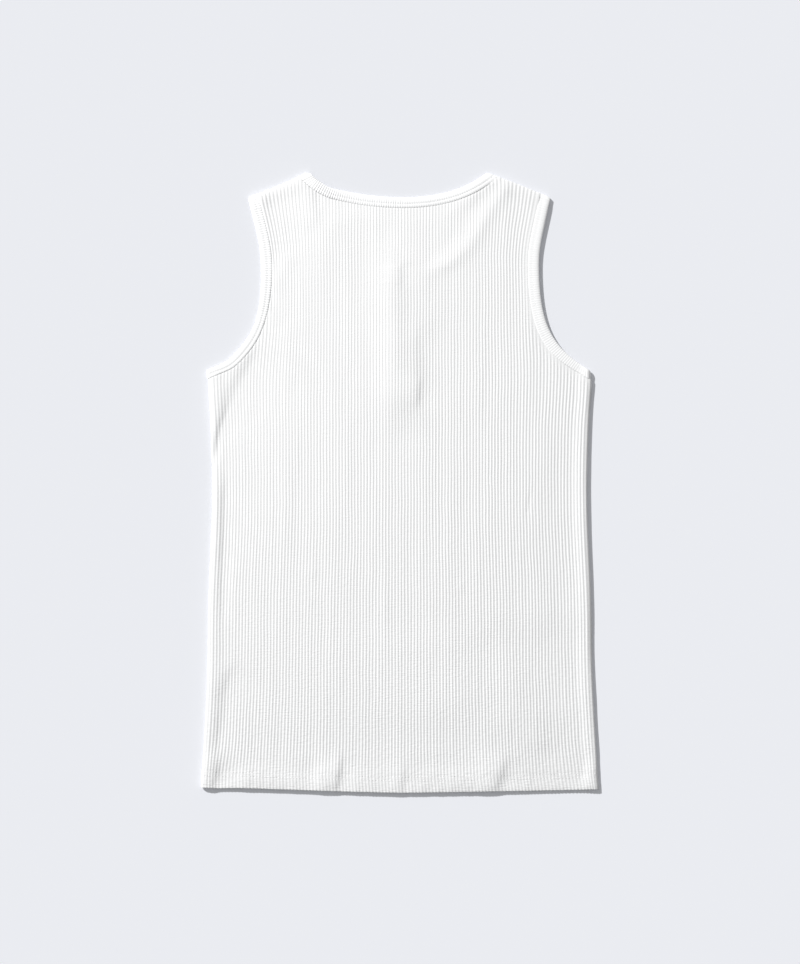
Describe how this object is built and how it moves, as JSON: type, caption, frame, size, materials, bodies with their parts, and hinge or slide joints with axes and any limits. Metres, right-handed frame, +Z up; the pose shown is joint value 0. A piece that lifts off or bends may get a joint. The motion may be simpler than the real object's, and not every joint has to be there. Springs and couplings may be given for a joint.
{
  "type": "tank top",
  "caption": "Sleeveless ribbed tank top laid flat with its back up, with bound neck and armholes, a folded hem and a hidden front placket.",
  "frame": {"origin": "middle of the laid garment's outline, on the surface it lies on", "axes": "+X across the garment, +Y from the hem towards the neck, +Z up out of the back panel"},
  "size_m": [0.4251, 0.6633, 0.0052],
  "materials": {
    "rib_knit": "white cotton rib knit, matt",
    "binding": "white folded rib binding, matt"
  },
  "bodies": {
    "root": {"back": "rib_knit", "front": "rib_knit", "neck_binding": "binding", "armhole_binding_left": "binding", "armhole_binding_right": "binding", "placket_upper": "binding", "placket_under": "binding"}
  },
  "joints": []
}
